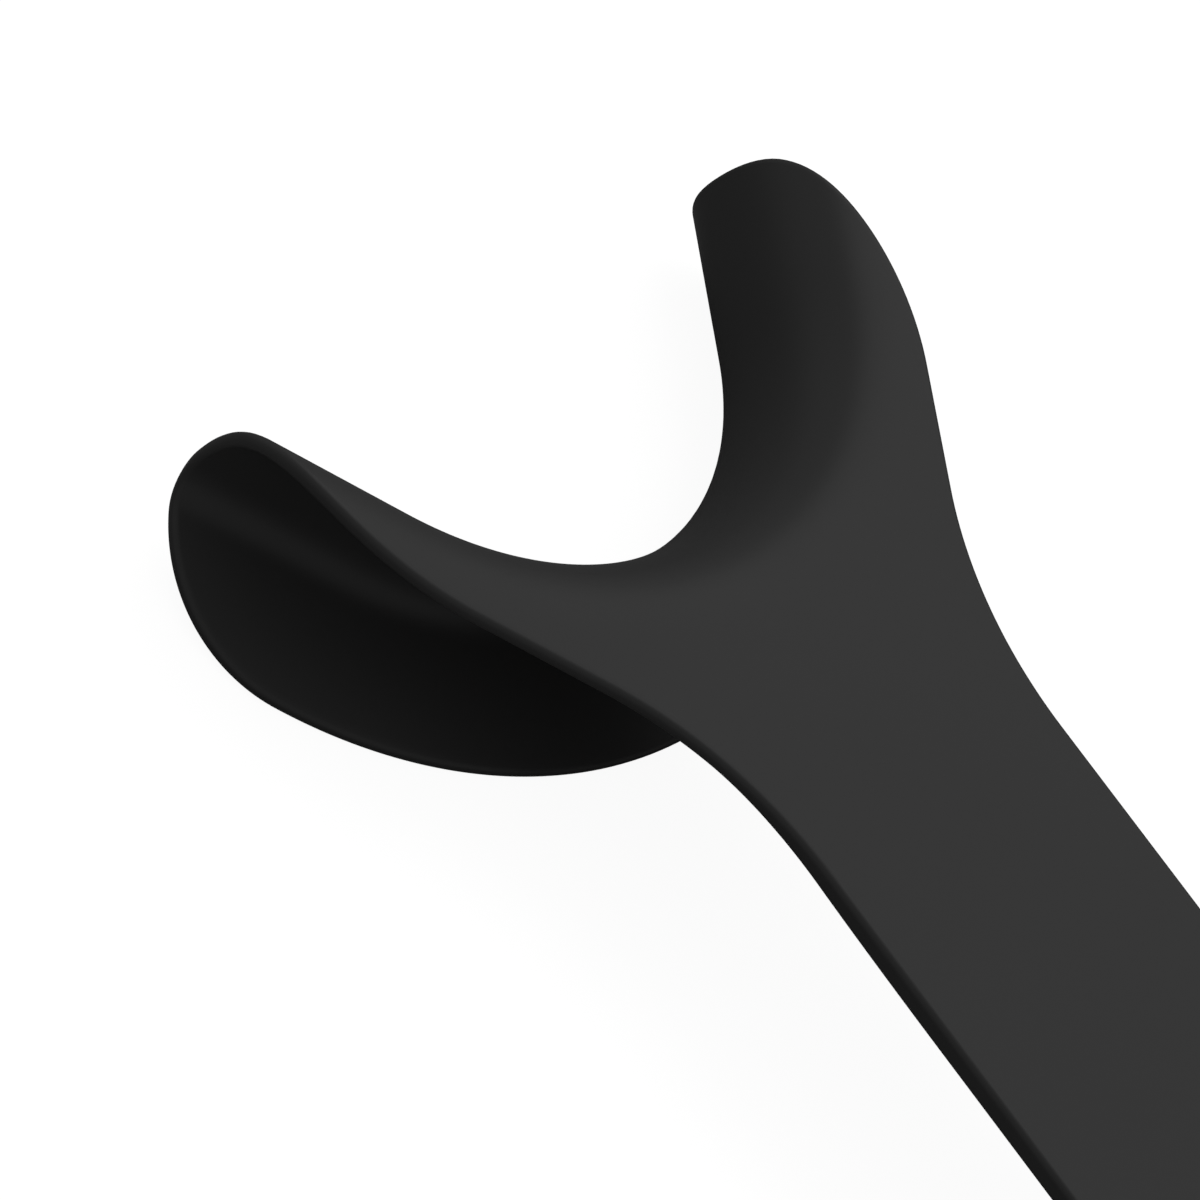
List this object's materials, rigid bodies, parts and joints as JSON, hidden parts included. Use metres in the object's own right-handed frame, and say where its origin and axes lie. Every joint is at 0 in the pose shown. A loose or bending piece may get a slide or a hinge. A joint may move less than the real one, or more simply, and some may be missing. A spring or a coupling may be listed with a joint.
{
  "type": "cheek retractor",
  "caption": "Flat-handled hand retractor with forked ends; each fork's rolled-over edge is a channel that hooks behind the lip to draw the cheek aside.",
  "frame": {"origin": "on the plane that the rear flanges stand on, under the middle of the length and width", "axes": "+X across the handle, +Y along it towards the large fork, +Z out of the handle's front face"},
  "size_m": [0.0538, 0.1568, 0.0138],
  "materials": {
    "steel": "as blanked",
    "coating": "satin"
  },
  "bodies": {
    "root": {"steel_core": "steel", "black_coating": "coating"}
  },
  "joints": []
}
